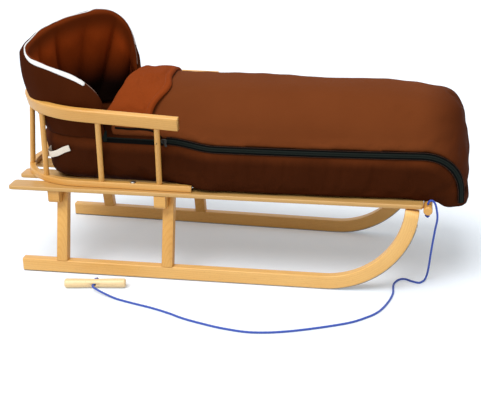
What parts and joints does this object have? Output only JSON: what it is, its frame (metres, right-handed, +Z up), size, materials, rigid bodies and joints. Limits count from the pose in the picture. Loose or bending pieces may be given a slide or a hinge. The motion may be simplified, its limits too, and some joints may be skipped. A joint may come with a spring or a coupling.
{
  "type": "wooden sled",
  "caption": "Child's wooden sled: bent runners with steel soles, slatted seat on trestles, bent-rail backrest, quilted foot muff and a pull cord with a turned handle.",
  "frame": {"origin": "on the ground plane, under the middle of the sled's bounding box measured without the pull cord, its knots and its handle", "axes": "+X forward, toward the front bar and the muff's foot end; +Y to the sled's left side; +Z up"},
  "size_m": [1.015, 0.604, 0.548],
  "materials": {
    "beech": "clear varnish, satin",
    "steel": "dull, worn bright underneath",
    "brown_shell": "padded woven shell, matt",
    "rust_shell": "padded woven shell, matt",
    "rust_fleece": "brushed fleece",
    "zip": "black coil zip on woven tape",
    "cord": "braided cord"
  },
  "bodies": {
    "root": {"backrest_bolt_left": "steel", "backrest_bolt_right": "steel", "backrest_rail_lower": "beech", "backrest_rail_upper": "beech", "cord_knot_bar": "cord", "cord_knot_handle": "cord", "cross_beam_middle": "beech", "cross_beam_rear": "beech", "front_bar": "beech", "muff_cover": "rust_shell", "muff_flap": "rust_fleece", "muff_hood": "brown_shell", "muff_tray": "brown_shell", "muff_zip_left": "zip", "muff_zip_right": "zip", "post_middle_left": "beech", "post_middle_right": "beech", "post_rear_left": "beech", "post_rear_right": "beech", "pull_cord": "cord", "pull_handle": "beech", "runner_left": "beech", "runner_right": "beech", "runner_sole_left": "steel", "runner_sole_right": "steel", "seat_slat_1": "beech", "seat_slat_2": "beech", "seat_slat_3": "beech", "seat_slat_4": "beech", "seat_slat_5": "beech", "spindle_bend_1_left": "beech", "spindle_bend_1_right": "beech", "spindle_bend_2_left": "beech", "spindle_bend_2_right": "beech", "spindle_side_1_left": "beech", "spindle_side_1_right": "beech", "spindle_side_2_left": "beech", "spindle_side_2_right": "beech"}
  },
  "joints": []
}
